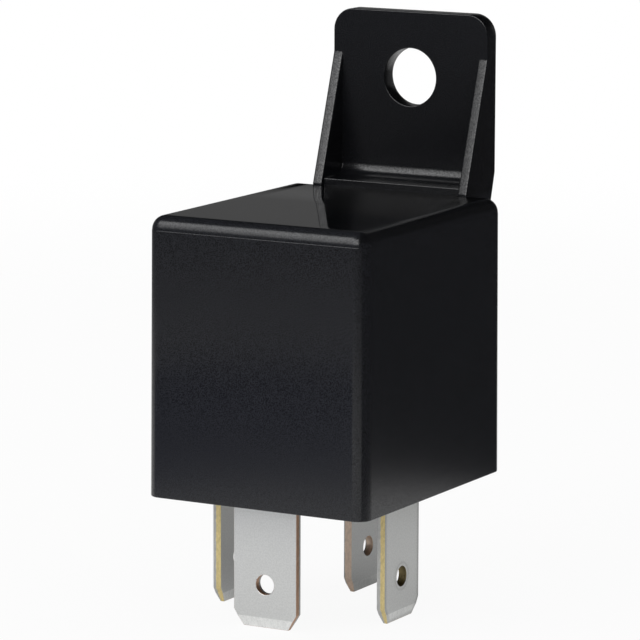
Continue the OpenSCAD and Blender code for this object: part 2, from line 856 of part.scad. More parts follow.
spring_route = concat(
    [[0, spring_y - spring_r, hook_centre_low_z + 0.5]],
    [for (i = [0:hook_steps]) hook_point(180 + 180 * i / hook_steps, hook_centre_low_z)],
    [[0.02, spring_y + spring_r, (hook_centre_low_z + turns_low_z) / 2]],
    [for (i = [0:spring_turns * turn_steps]) turn_point(i / (spring_turns * turn_steps))],
    [[-0.02, spring_y + spring_r, (turns_high_z + hook_centre_high_z) / 2]],
    [for (i = [0:hook_steps]) hook_point(180 * i / hook_steps, hook_centre_high_z)],
    [[0, spring_y - spring_r, hook_centre_high_z - 0.6]]
);

// The return spring that pulls the armature's tail down
module return_spring() {
    color([0.75, 0.76, 0.78])
        in_cover_frame()
            tube(spring_route, spring_wire_d, 8, [1, 0, 0]);
}

// A point of a smooth curve through four neighbours, between the middle two
function smooth_point(a, b, c, d, t) =
    0.5 * (2 * b + (c - a) * t + (2 * a - 5 * b + 4 * c - d) * t * t + (3 * b - a - 3 * c + d) * t * t * t);

function smooth_route(points, steps) =
    let (last = len(points) - 1)
        concat(
            [
                for (i = [0:last - 1], k = [0:steps - 1])
                    smooth_point(
                        points[max(i - 1, 0)], points[i], points[i + 1], points[min(i + 2, last)], k / steps
                    )
            ],
            [points[last]]
        );

// Chosen points of the flexible lead, from the common riser up behind the yoke and over to the leaf
lead_x = blade_t / 2 + strand_d / 2 + slot_gap;
lead_top_z = leaf_z + leaf_t + open_lift_at(leaf_back_y) + strand_d / 2 + 0.05;
function open_lift_at(y) = (yoke_back_y - y) * sin(closing_angle);
lead_rise = pole_z - riser_top_z;
lead_points = [
    [lead_x, common_back_y - 0.6 * strand_d, riser_top_z - riser_rise / 2],
    [lead_x + 0.04 * lead_bow, common_back_y - 0.55 * strand_d, riser_top_z],
    [lead_x + 0.8 * lead_bow, spring_y + 0.2 * spring_d, riser_top_z + 0.24 * lead_rise],
    [lead_x + lead_bow, spring_y + 0.25 * spring_d, riser_top_z + 0.56 * lead_rise],
    [lead_x + lead_bow, spring_y + 0.2 * spring_d, riser_top_z + 0.84 * lead_rise],
    [lead_x + 0.85 * lead_bow, spring_y - 0.08 * spring_d, lead_top_z - 0.45 * strand_d],
    [lead_x + 0.46 * lead_bow, yoke_back_y - 0.14 * strand_d, lead_top_z + 0.1 * strand_d],
    [lead_x - 0.04 * lead_bow, leaf_back_y - 0.85 * strand_d, lead_top_z]
];

// The flexible lead that carries the current from the common blade to the moving leaf
module flexible_lead() {
    color([0.8, 0.45, 0.25])
        in_cover_frame()
            tube(smooth_route(lead_points, 4), strand_d, 10, [1, 0, 0]);
}

cover();
base();
coil_terminal("85");  // terminal_85
coil_terminal("86");  // terminal_86
common_terminal();  // terminal_30
switched_terminal();  // terminal_87
yoke();
core();
bobbin();
coil_winding();
coil_tape();
coil_lead(0);  // coil_lead_85
coil_lead(1);  // coil_lead_86
open_stop();
armature();
contact_leaf();
moving_contact();
fixed_contact();
return_spring();
flexible_lead();
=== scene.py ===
"""Plug-in automotive relay: the looks of its moulded cover, blades, base and inner works.

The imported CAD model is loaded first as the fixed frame. The cover and the blades are built or softened
round it, every piece rides on its CAD body, and every material is made from nodes.
"""

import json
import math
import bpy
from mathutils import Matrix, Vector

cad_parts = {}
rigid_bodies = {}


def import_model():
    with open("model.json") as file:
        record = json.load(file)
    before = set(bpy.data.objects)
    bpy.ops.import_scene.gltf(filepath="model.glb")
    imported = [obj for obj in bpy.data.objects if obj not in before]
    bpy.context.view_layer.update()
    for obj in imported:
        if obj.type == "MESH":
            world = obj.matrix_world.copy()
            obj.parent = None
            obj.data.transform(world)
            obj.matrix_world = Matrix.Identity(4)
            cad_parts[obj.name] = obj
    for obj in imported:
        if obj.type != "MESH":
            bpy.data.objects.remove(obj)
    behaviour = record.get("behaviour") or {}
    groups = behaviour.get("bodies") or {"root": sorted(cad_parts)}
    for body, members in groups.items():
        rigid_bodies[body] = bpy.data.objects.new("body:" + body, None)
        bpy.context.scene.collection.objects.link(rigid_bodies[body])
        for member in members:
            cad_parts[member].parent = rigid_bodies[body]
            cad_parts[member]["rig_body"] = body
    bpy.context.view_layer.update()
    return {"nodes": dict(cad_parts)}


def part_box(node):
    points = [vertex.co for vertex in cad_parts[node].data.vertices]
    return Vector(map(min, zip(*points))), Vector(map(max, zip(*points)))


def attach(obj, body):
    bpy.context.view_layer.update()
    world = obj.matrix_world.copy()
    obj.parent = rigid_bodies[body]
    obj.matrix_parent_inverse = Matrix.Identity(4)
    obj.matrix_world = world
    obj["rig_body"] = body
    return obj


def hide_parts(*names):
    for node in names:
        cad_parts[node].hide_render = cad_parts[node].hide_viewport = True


bl_info = {
    "name": "Automotive Relay",
    "version": (1, 0, 0),
    "blender": (4, 5, 0),
    "location": "3D View > Sidebar > Relay",
    "description": "Builds a plug-in relay with its finishes round a packed CAD frame, and a plain studio",
    "category": "Add Mesh",
}

import bmesh
import bpy
import numpy as np
from bpy.props import FloatProperty, FloatVectorProperty, PointerProperty
from mathutils import Matrix, Vector

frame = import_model()
COVER_LOW, COVER_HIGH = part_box("cover")
BLACK = (0.0, 0.0, 0.0)
WHITE = (1.0, 1.0, 1.0)

# How far the camera is turned to the right and raised, in radians, and the level way across its view
CAMERA_TURN = 0.5102
CAMERA_RISE = 0.1694
ACROSS = (math.cos(CAMERA_TURN), math.sin(CAMERA_TURN))

# The middle of the ball on which the softbox lies
SOFTBOX_CENTRE = (0.0, 0.0, 0.02)


# Sizes and colours

def length(name, description, default):
    """A length in metres that the panel shows."""
    return FloatProperty(name=name, description=description, default=default, min=0.0, unit="LENGTH",
                         precision=5)


def colour(name, description, default):
    """A linear colour that the panel shows."""
    return FloatVectorProperty(name=name, description=description, default=default, size=3, min=0.0, max=1.0,
                               subtype="COLOR")


def amount(name, description, default, high=1.0):
    """A plain number from 0 to high."""
    return FloatProperty(name=name, description=description, default=default, min=0.0, max=high)


def turn_angle(name, description, degrees):
    """An angle, given in degrees, that the panel shows."""
    return FloatProperty(name=name, description=description, default=math.radians(degrees), subtype="ANGLE")


class RelayCoverSizes(bpy.types.PropertyGroup):
    """Sizes of the moulded box"""

    width: length("Width", "Width of the cover at its open end", COVER_HIGH.x - COVER_LOW.x)
    depth: length("Depth", "Depth of the cover at its open end", 0.026)
    height: length("Height", "Height of the cover without its bracket", 0.025)
    wall: length("Wall", "Thickness of the side walls", 0.0012)
    roof: length("Roof", "Thickness of the roof", 0.0013)
    draft: length("Draft", "How far each side leans in towards the roof", 0.00012)
    corner_radius: length("Corner radius", "Radius of the upright edges", 0.00131)
    top_radius: length("Top radius", "Radius of the roof's edges", 0.00127)
    inner_radius: length("Inner radius", "Radius of the upright edges inside", 0.0003)
    chamfer: length("Chamfer", "Size of the small slope between walls and ceiling", 0.0001)
    parting_step: length("Parting step", "Step that the mould leaves below the roof's edges", 0.000016)
    rim_radius: length("Rim radius", "Radius of the open end's edges", 0.00009)


class RelayBracketSizes(bpy.types.PropertyGroup):
    """Sizes of the screw bracket"""

    width: length("Width", "Width of the screw plate", 0.0159)
    thickness: length("Thickness", "Thickness of the screw plate", 0.0017)
    rise: length("Rise", "Height of the screw plate above the roof", 0.016)
    offset: length("Offset", "Distance from the cover's back to the plate's front", 0.0023)
    corner_radius: length("Corner radius", "Radius of the plate's top corners", 0.002)
    hole_diameter: length("Hole", "Diameter of the screw hole", 0.0053)
    hole_rise: length("Hole rise", "Height of the screw hole above the roof", 0.010)
    gusset_thickness: length("Gusset", "Thickness of each gusset", 0.00095)
    gusset_rise: length("Gusset rise", "Height of the gussets above the roof", 0.012)
    gusset_reach: length("Gusset reach", "Length of each gusset's foot", 0.00395)
    toe: length("Toe", "Height of the upright toe of each gusset", 0.00015)
    gusset_crown: length("Gusset crown", "How far the middle of a gusset's edge stands proud", 0.000018)
    gusset_lean: turn_angle("Gusset lean", "How far a gusset's edge turns inwards", 3)
    step: length("Step", "Height of the step between the gussets", 0.00065)
    setback: length("Step setback", "How far the step's front stands behind the gussets' toes", 0.0005)
    hollow: length("Hollow", "Radius of the hollow between step and plate", 0.00125)
    lean_rise: length("Lean rise", "Height above the roof where the back starts to lean in", 0.00165)
    lean_angle: turn_angle("Lean", "Lean of the plate's back below that height", 16)
    root_drop: length("Root drop", "Depth of the bracket's root below the roof", 0.0045)
    edge_radius: length("Edge radius", "Radius of the bracket's edges", 0.00011)


class RelayBladeSizes(bpy.types.PropertyGroup):
    """Sizes of the four blades"""

    width: length("Width", "Width of a blade", 0.0063)
    thickness: length("Thickness", "Thickness of a blade", 0.0008)
    drop: length("Drop", "Length of a blade below the cover", 0.011)
    hole_diameter: length("Hole", "Diameter of the latching hole", 0.0018)
    hole_drop: length("Hole drop", "Distance of the latching hole below the cover", 0.0071)
    cut_width: length("Cut width", "Width of the corner cut at the tip", 0.0009)
    cut_height: length("Cut height", "Height of the corner cut at the tip", 0.00145)
    edge_radius: length("Edge radius", "Radius left on the stamped edges", 0.00005)
    ring_radius: length("Ring radius", "Radius of the pressed ring round a coil blade's hole", 0.00122)
    ring_depth: length("Ring depth", "Depth of the pressed ring", 0.00001)
    ring_section: length("Ring section", "Radius of the tool that pressed the ring", 0.0006)


class RelayFinishes(bpy.types.PropertyGroup):
    """Colours of plastics, metals, wire and tape"""

    cover: colour("Cover", "Black moulded plastic of the cover", (0.0146, 0.0153, 0.0184))
    base: colour("Base", "Black moulded plastic of the base", (0.014, 0.014, 0.015))
    bobbin: colour("Bobbin", "Moulded plastic of the bobbin", (0.035, 0.035, 0.038))
    tin: colour("Tin", "Tin plate on the blades", (0.61, 0.615, 0.605))
    brass: colour("Brass", "Bare brass on the coil blades' edges", (0.74, 0.60, 0.30))
    copper: colour("Copper", "Bare copper alloy on the switched blade's edges", (0.50, 0.32, 0.22))
    bronze: colour("Bronze", "Bare, lighter copper alloy on the common blade's edges", (0.76, 0.58, 0.47))
    steel: colour("Steel", "Plated steel of the magnet", (0.56, 0.57, 0.58))
    wire: colour("Wire", "Enamelled copper wire", (0.62, 0.24, 0.09))
    leaf: colour("Leaf", "Copper alloy of the contact leaf", (0.74, 0.42, 0.24))
    silver: colour("Silver", "Silver alloy of the contacts", (0.82, 0.81, 0.77))
    tape: colour("Tape", "Film tape round the winding", (0.72, 0.50, 0.07))


class RelayStudio(bpy.types.PropertyGroup):
    """Strengths and sizes of the studio's lights, floor and reflectors"""

    floor: amount("Floor", "Brightness of the floor's colour", 0.86)
    sky: amount("Fill", "Strength of the even light from all round", 0.65, 4.0)
    key: amount("Key", "Power of the large lamp in front, in watts", 0.7, 50.0)
    softbox: amount("Softbox", "Brightness of the softbox in reflections", 3.45, 100.0)
    tent: amount("Tent", "Brightness of the tent low behind the relay in reflections", 0.15, 4.0)
    right_card: amount("Right card", "Brightness of the dark card at the right in reflections", 0.02, 4.0)
    left_card: amount("Left card", "Brightness of the grey card at the left in reflections", 0.12, 4.0)
    floor_radius: length("Floor radius", "Radius of the floor", 0.5)
    tent_radius: length("Tent radius", "Radius of the ball that shows in reflections", 0.7)
    lamp_reach: length("Lamp distance", "Distance of the softbox and of the large lamp", 0.5)
    lamp_size: length("Lamp size", "Side of the large lamp", 0.4)


GROUPS = {
    "relay_cover": RelayCoverSizes,
    "relay_bracket": RelayBracketSizes,
    "relay_blade": RelayBladeSizes,
    "relay_finish": RelayFinishes,
    "relay_studio": RelayStudio,
}


# Shader maths

class Num:
    """A socket with a number on it. Python's operators add the Math nodes that work it out."""

    def __init__(self, shader, socket):
        self.shader = shader
        self.socket = socket

    def math(self, operation, *values):
        """The result of a Math node on this number and the others, in the order given."""
        return self.shader.add("ShaderNodeMath", {"operation": operation}, dict(enumerate(values))).out(0)

    def __add__(self, other):
        return self.math("ADD", self, other)

    def __radd__(self, other):
        return self.math("ADD", other, self)

    def __sub__(self, other):
        return self.math("SUBTRACT", self, other)

    def __rsub__(self, other):
        return self.math("SUBTRACT", other, self)

    def __mul__(self, other):
        return self.math("MULTIPLY", self, other)

    def __rmul__(self, other):
        return self.math("MULTIPLY", other, self)

    def __truediv__(self, other):
        return self.math("DIVIDE", self, other)

    def __pow__(self, other):
        return self.math("POWER", self, other)

    def __neg__(self):
        return self.math("MULTIPLY", self, -1.0)

    def __abs__(self):
        return self.math("ABSOLUTE", self)

    def least(self, other):
        """The smaller of the two numbers."""
        return self.math("MINIMUM", self, other)

    def most(self, other):
        """The larger of the two numbers."""
        return self.math("MAXIMUM", self, other)

    def fraction(self):
        """What the number has above the whole number below it."""
        return self.math("FRACT", self)

    def sine(self):
        """The sine of an angle in radians."""
        return self.math("SINE", self)

    def between(self, low, high):
        """0 below low, 1 above high, and a smooth rise from one to the other."""
        return self.shader.add("ShaderNodeMapRange", {"interpolation_type": "SMOOTHSTEP"},
                               {"Value": self, "From Min": low, "From Max": high}).out("Result")

    def inside(self, low, high, blur):
        """1 between low and high and 0 beyond them, with edges that reach blur to each side."""
        return self.between(low - blur, low + blur) * (1 - self.between(high - blur, high + blur))

    def line(self, centre, half_width):
        """1 on a line where the number is centre, and smoothly 0 beyond half_width."""
        return 1 - abs(self - centre).between(0.0, half_width)


class Node:
    """A node of a material, whose outputs come as numbers or plain sockets."""

    def __init__(self, shader, node):
        self.shader = shader
        self.node = node

    def out(self, key=0):
        """An output as a number that Python's operators work on."""
        return Num(self.shader, self.node.outputs[key])


class Shader:
    """A node tree under construction, of a material or the world."""

    def __init__(self, owner):
        owner.use_nodes = True
        self.owner = owner
        self.tree = owner.node_tree
        self.tree.nodes.clear()

    def add(self, kind, settings=None, inputs=None):
        """A node of that kind: its settings come first, then a value or a link for each socket."""
        node = self.tree.nodes.new(kind)
        for key, value in (settings or {}).items():
            setattr(node, key, value)
        for key, value in (inputs or {}).items():
            socket = node.inputs[key]
            if isinstance(value, (Num, Node)):
                source = value.socket if isinstance(value, Num) else value.node.outputs[0]
                self.tree.links.new(source, socket)
            elif socket.type == "RGBA":
                socket.default_value = (*value, 1.0)
            else:
                socket.default_value = value
        return Node(self, node)

    def place(self, centre=(0.0, 0.0, 0.0), scale=(1.0, 1.0, 1.0)):
        """Object coordinates about a centre, stretched by scale."""
        source = self.add("ShaderNodeTexCoord").out("Object")
        shift = tuple(-c * s for c, s in zip(centre, scale))
        return self.add("ShaderNodeMapping", {"vector_type": "POINT"},
                        {"Vector": source, "Location": shift, "Scale": scale}).out()

    def facing(self):
        """The three components of the way that the surface faces, in Object coordinates."""
        return self.parts(self.add("ShaderNodeTexCoord").out("Normal"))

    def parts(self, vector):
        """The three components of a vector."""
        split = self.add("ShaderNodeSeparateXYZ", None, {"Vector": vector})
        return split.out(0), split.out(1), split.out(2)

    def noise(self, place, size, detail=2.0, roughness=0.5):
        """Soft noise from 0 to 1 whose features are about size metres across."""
        inputs = {"Vector": place, "Scale": 0.5 / size, "Detail": detail, "Roughness": roughness}
        return self.add("ShaderNodeTexNoise", {"noise_dimensions": "3D"}, inputs).out("Fac")

    def mix(self, factor, first, second):
        """A colour between two others."""
        node = self.add("ShaderNodeMix", {"data_type": "RGBA"}, {0: factor, 6: first, 7: second})
        return Num(self, node.node.outputs[2])

    def bump(self, height, distance, strength=1.0):
        """The normal that a height from 0 to 1 gives, when 1 stands for distance metres."""
        return self.add("ShaderNodeBump", None,
                        {"Height": height, "Distance": distance, "Strength": strength}).out()

    def finish(self, **inputs):
        """A Principled surface with these sockets, linked to the output."""
        sockets = {key.replace("_", " "): value for key, value in inputs.items()}
        return self.show(self.add("ShaderNodeBsdfPrincipled", None, sockets))

    def show(self, surface):
        """Links a surface to the material's output."""
        self.add("ShaderNodeOutputMaterial", None, {"Surface": surface})
        return self.owner

    def glow(self, strength, tint=WHITE):
        """A surface that only shines."""
        return self.add("ShaderNodeEmission", None, {"Color": tint, "Strength": strength})


def material(name):
    """A new material's shader."""
    return Shader(bpy.data.materials.new(name))


def tinted(tone, factor):
    """A colour made lighter or darker by a factor, and no lighter than white."""
    return tuple(min(1.0, c * factor) for c in tone)


# Surfaces and solids

def mesh_object(name, points, faces):
    """An object whose mesh has these points, in metres in the row frame."""
    mesh = bpy.data.meshes.new(name)
    mesh.from_pydata(points, [], faces)
    mesh.update()
    piece = bpy.data.objects.new(name, mesh)
    bpy.context.scene.collection.objects.link(piece)
    return piece


def grid_faces(rows, columns):
    """Quads between neighbouring rows of a grid whose last column joins the first."""
    row = np.arange(rows - 1)[:, None] * columns
    here = np.arange(columns)[None, :]
    after = (here + 1) % columns
    corners = [row + here, row + after, row + columns + after, row + columns + here]
    return np.stack(corners, axis=-1).reshape(-1, 4)


def rounded_loops(half_w, half_d, radius, level, steps):
    """Rings of points round rectangles with round corners. Each of the four corners is a centre, half_w -
    radius and half_d - radius from the middle, plus radius times the cosine and sine of an angle over its
    quarter turn."""
    quarter = np.arange(4)[:, None] * math.pi / 2
    angle = quarter + np.linspace(0, math.pi / 2, steps + 1)[None, :]
    sign_x = np.sign(np.cos(quarter + math.pi / 4))
    sign_y = np.sign(np.sin(quarter + math.pi / 4))
    w, d, r = (np.asarray(v, float)[:, None, None] for v in (half_w, half_d, radius))
    x = sign_x * (w - r) + r * np.cos(angle)
    y = sign_y * (d - r) + r * np.sin(angle)
    z = np.broadcast_to(np.asarray(level, float)[:, None, None], x.shape)
    return np.stack([x, y, z], axis=-1).reshape(len(half_w), -1, 3)


def loft(name, rings):
    """A closed solid through rings of points, with a flat face on the first ring and on the last."""
    rows, columns = rings.shape[:2]
    faces = grid_faces(rows, columns).tolist()
    faces.append(list(range(columns))[::-1])
    faces.append(list(range((rows - 1) * columns, rows * columns)))
    return mesh_object(name, rings.reshape(-1, 3), faces)


def prism(name, outline, axis, low, high):
    """A closed solid: an outline carried along an axis from low to high. Along x the outline is in y and z,
    and along y it is in x and z."""
    outline = np.asarray(outline, float)
    ends = [np.insert(outline, {"x": 0, "y": 1}[axis], at, axis=1) for at in (low, high)]
    solid = loft(name, np.array(ends))
    face_outwards(solid)
    return solid


def face_outwards(piece):
    """Turns every face of a closed mesh outwards."""
    bm = bmesh.new()
    bm.from_mesh(piece.data)
    bmesh.ops.recalc_face_normals(bm, faces=bm.faces)
    bm.to_mesh(piece.data)
    bm.free()


def arc(centre, radius, start, end, steps):
    """Points of an arc: the centre plus radius times the cosine and sine of an angle, in degrees."""
    angle = np.radians(np.linspace(start, end, steps + 1))
    return np.stack([centre[0] + radius * np.cos(angle), centre[1] + radius * np.sin(angle)], axis=-1)


def applied(piece):
    """The piece with its modifiers worked into its mesh."""
    mesh = bpy.data.meshes.new_from_object(piece.evaluated_get(bpy.context.evaluated_depsgraph_get()))
    piece.modifiers.clear()
    old, piece.data = piece.data, mesh
    mesh.name = piece.name
    bpy.data.meshes.remove(old)
    return piece


def combine(piece, tool, operation):
    """Joins (UNION), cuts (DIFFERENCE) or keeps what two closed solids share (INTERSECT). The tool goes."""
    modifier = piece.modifiers.new("combine", "BOOLEAN")
    modifier.operation = operation
    modifier.solver = "EXACT"
    modifier.object = tool
    applied(piece)
    bpy.data.objects.remove(tool)
    return piece


def tidy_mesh(mesh, merge=1e-7, flat=math.radians(0.3)):
    """Merges points that coincide and joins faces that lie in one plane."""
    bm = bmesh.new()
    bm.from_mesh(mesh)
    bmesh.ops.remove_doubles(bm, verts=bm.verts, dist=merge)
    bmesh.ops.dissolve_limit(bm, angle_limit=flat, verts=bm.verts, edges=bm.edges)
    bm.to_mesh(mesh)
    bm.free()


def soften(piece, radius, segments=2, angle=30):
    """Rounds the edges sharper than angle degrees."""
    bevel = piece.modifiers.new("soft edges", "BEVEL")
    bevel.width = radius
    bevel.segments = segments
    bevel.limit_method = "ANGLE"
    bevel.angle_limit = math.radians(angle)
    bevel.use_clamp_overlap = False
    bevel.miter_outer = "MITER_ARC"
    return piece


def shade(piece, angle=32):
    """Smooth shading that keeps flat faces flat, and edges sharper than angle degrees sharp."""
    piece.data.shade_smooth()
    piece.data.set_sharp_from_angle(angle=math.radians(angle))
    weighted = piece.modifiers.new("flat faces stay flat", "WEIGHTED_NORMAL")
    weighted.mode = "FACE_AREA"
    weighted.weight = 100
    weighted.keep_sharp = True
    return piece


def sharpen(piece, levels):
    """Marks the level edges at these heights as sharp, so that each face beside them keeps its shading."""
    mesh = piece.data
    points = np.empty(len(mesh.vertices) * 3)
    mesh.vertices.foreach_get("co", points)
    ends = np.empty(len(mesh.edges) * 2, int)
    mesh.edges.foreach_get("vertices", ends)
    heights = points.reshape(-1, 3)[:, 2][ends.reshape(-1, 2)]
    sharp = np.empty(len(mesh.edges), bool)
    mesh.edges.foreach_get("use_edge_sharp", sharp)
    for level in levels:
        sharp |= (np.abs(heights - level) < 1e-6).all(axis=1)
    mesh.edges.foreach_set("use_edge_sharp", sharp)


def dress(piece, finish, node):
    """Gives a piece its material, and has it stand for a CAD node and ride on that node's body."""
    piece.data.materials.clear()
    piece.data.materials.append(finish)
    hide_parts(node)
    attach(piece, frame["nodes"][node]["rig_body"])
    return piece


def node_copy(node, name, flat=math.radians(0.3)):
    """A copy of a CAD node, with its doubles merged and its faces joined where they lie in one plane."""
    mesh = frame["nodes"][node].data.copy()
    mesh.name = name
    tidy_mesh(mesh, merge=1e-6, flat=flat)
    piece = bpy.data.objects.new(name, mesh)
    bpy.context.scene.collection.objects.link(piece)
    return piece


def softened_node(node, name, radius, finish, angle=30):
    """A copy of a CAD node with fine round edges, which stands for it."""
    piece = node_copy(node, name)
    if radius > 0:
        soften(piece, radius, angle=angle)
    shade(piece)
    return dress(piece, finish, node)


# Finishes

def cover_zones(s, place, roof, step_front):
    """How the finish differs over the cover, whose flat roof is polished like a mirror.

    The values are: 1 where the surface is matte and 0 on the roof; a factor on the colour that paints shade
    and light: lower on the roof, where the polish deepens the black and shade from above is painted as
    well, lower on the step and bracket above the roof as painted shade, with painted light higher up the
    plate, and lower on faces turned to the right as painted shade; 1 above the roof and 0 below; the
    roughness of a haze on the roof in front of the bracket; and how deep the roof sinks there, where the
    moulding is thick."""
    x, y, z = s.parts(place)
    face_x, _, face_z = s.facing()
    matte = abs(z - roof).between(0.00001, 0.00003)
    above = z.between(roof + 0.00003, roof + 0.0001)
    # Painted shade darkens everything above the roof, the step and the bracket, and painted light lifts the
    # plate's upper part
    painted_plate_top_light = z.between(roof + 0.004, roof + 0.016)
    # Painted shade: faces turned to the right take a darker colour, for the side away from the key light
    right = face_x.between(0.1, 0.5) * (0.2 + 0.4 * face_z.between(0.1, 0.5))
    # The colour's factor, which paints shade: the polished roof is darker, partly for its deeper black and
    # partly as painted shade from above
    depth = (0.25 + 0.75 * matte) * (1 - right) * (1 - 0.45 * above + 0.2 * painted_plate_top_light)
    sunk_from = step_front - 0.0105
    sunk_to = step_front - 0.0012
    middle = 1 - abs(x).between(0.0082, 0.0098)
    sink = 0.00026 * y.between(sunk_from, sunk_to) * middle * z.between(roof - 0.012, roof - 0.0015)
    slant = (x * ACROSS[0] + y * ACROSS[1]).between(-0.0018, 0.0)
    haze = 0.22 * slant * y.between(sunk_from - 0.008, sunk_from)
    return matte, depth, above, haze, sink


def moulded_plastic(name, tone, zones=None):
    """Black moulded plastic with a fine spark-eroded grain, whose gloss differs from speck to speck. Zones
    is a function that says how the finish differs over the piece, and where shade is painted into its
    colour, as cover_zones does."""
    s = material(name)
    place = s.place()
    grain = s.noise(place, 0.00005, 2.0, 0.6)
    speck = s.noise(place, 0.000035, 1.0).between(0.38, 0.62)
    glint = s.noise(s.place((0.01, 0.0, 0.0)), 0.00006, 1.0).between(0.3, 0.7)
    cloud = s.noise(place, 0.0022, 2.0)
    matte, depth, above, haze, sink = 1.0, 1.0, 0.0, 0.0, 0.0
    if zones:
        matte, depth, above, haze, sink = zones(s, place)
    # The colour takes the zones' factor of painted shade and light
    return s.finish(
        Base_Color=s.mix(depth * (0.3 + 0.7 * speck) * (0.95 + 0.1 * cloud), BLACK, tinted(tone, 1.56)),
        Roughness=0.05 + matte * (0.14 + 0.03 * cloud + 0.02 * grain) + (1 - matte) * haze,
        Specular_IOR_Level=0.25,
        Coat_Weight=matte * (0.08 + (0.42 + 0.34 * above) * glint),
        Coat_Roughness=0.22,
        Normal=s.bump((grain - 0.5) * matte * 0.000003 - sink, 1.0),
    )


def outline_distance(blade, side, up):
    """The distance from a blade's outline: its sides, the cuts at the corners of its tip, and the tip."""
    to_side = blade.width / 2 - abs(side)
    slope = math.hypot(blade.cut_width, blade.cut_height)
    to_cut = ((to_side - blade.cut_width) * blade.cut_height + up * blade.cut_width) / slope
    return to_side.least(to_cut).least(up)


def blade_plate(name, blade, centre, across, bare, span, painted_brightness, ring):
    """Tin plate on a stamped blade. The tin is made lighter or darker per blade, which paints the light and
    shade of what each blade reflects. The stamped edges and the hole's wall show bare metal over a span,
    counted through the thickness from its middle, and a smear of plate beside it. The slope at the tip is
    brighter. The blade with the pressed ring is darker along its outline and on the ring, and its hole's
    wall has painted shade."""
    # Painted light and shade: each blade's tin is lightened or darkened by its own factor
    tin = tinted(bpy.context.scene.relay_finish.tin, painted_brightness)
    s = material(name)
    place = s.place(centre)
    x, y, z = s.parts(place)
    face_x, face_y, face_z = s.facing()
    side, through, facing = (y, x, abs(face_x)) if across == "y" else (x, y, abs(face_y))
    flat = facing.between(0.55, 0.9)
    tip = (-face_z).between(0.08, 0.2)
    cloud = s.noise(place, 0.0016, 2.0)
    satin = s.noise(place, 0.00018, 3.0, 0.6)
    speck = s.noise(place, 0.00007, 1.0).between(0.3, 0.7)
    torn = s.noise(s.place(centre, (1.0, 1.0, 0.5)), 0.00012, 3.0, 0.7)
    smear = s.mix(torn, tinted(tin, 0.55), tinted(tin, 1.1))
    raw = s.mix(torn, tinted(bare, 0.6), tinted(bare, 1.4))
    wobbled = through + (torn - 0.5) * 0.00016
    edge = s.mix(wobbled.inside(*span, 0.00003), smear, raw)
    pressed = 0.0
    if ring:
        up = z - (blade.drop - blade.hole_drop)
        reach = (side * side + up * up) ** 0.5
        border = outline_distance(blade, side, z)
        pressed = (1 - border.between(0.0001, 0.0005)) * 0.3 + reach.line(blade.ring_radius, 0.00018) * 0.14
        hole = blade.hole_diameter / 2
        # Painted shade: the hole's wall takes a much darker bare colour
        edge = s.mix(reach.between(1.3 * hole, 1.6 * hole), tinted(bare, 0.3), edge)
    tone = 0.93 + 0.04 * cloud + 0.1 * speck - pressed + tip * (0.22 + 0.6 * (torn - 0.5))
    brightest = 4 / 3
    plate = s.mix(tone / brightest, BLACK, tinted(tin, brightest))
    return s.finish(
        Base_Color=s.mix(flat, edge, plate),
        Metallic=1.0,
        Roughness=0.36 + 0.05 * cloud + (1 - flat) * (0.06 + 0.1 * torn),
        Normal=s.bump(satin * flat + torn * (1 - flat), 0.000005, 0.6),
    )


def brushed_metal(name, tone, roughness=0.34, grain=(1.0, 1.0, 1.0)):
    """Plated or rolled metal with faint lines, drawn out along the axis whose grain is small."""
    s = material(name)
    place = s.place(scale=grain)
    lines = s.noise(place, 0.00009, 3.0, 0.6)
    cloud = s.noise(s.place(), 0.0014, 2.0)
    return s.finish(
        Base_Color=s.mix(cloud, tinted(tone, 0.93), tinted(tone, 1.05)),
        Metallic=1.0,
        Roughness=roughness + 0.08 * cloud + 0.06 * lines,
        Normal=s.bump(lines, 0.000004, 0.4),
    )


def wound_wire(name, tone, pitch):
    """Enamelled wire in turns. The height is a half circle that repeats every pitch metres along the
    coil."""
    s = material(name)
    place = s.place()
    _, _, z = s.parts(place)
    cloud = s.noise(place, 0.001, 2.0)
    phase = (z / pitch).fraction() * 2 - 1
    height = (1 - phase * phase).most(0.0) ** 0.5
    return s.finish(
        Base_Color=s.mix(cloud, tinted(tone, 0.85), tone),
        Metallic=0.85,
        Roughness=0.3 + 0.08 * cloud,
        Coat_Weight=0.4 + 0.2 * cloud,
        Coat_Roughness=0.12,
        Normal=s.bump(height, pitch * 0.5, 0.8),
    )


def film_tape(name, tone, pitch):
    """Glossy film tape, drawn tight over turns that are pitch metres apart."""
    s = material(name)
    place = s.place()
    _, _, z = s.parts(place)
    cloud = s.noise(place, 0.0012, 2.0)
    ribs = (z * (2 * math.pi / pitch)).sine()
    return s.finish(
        Base_Color=s.mix(cloud, tinted(tone, 0.9), tone),
        Roughness=0.18 + 0.1 * cloud,
        Normal=s.bump(ribs * 0.5 + 0.5, 0.00002, 0.5),
    )


# Pieces

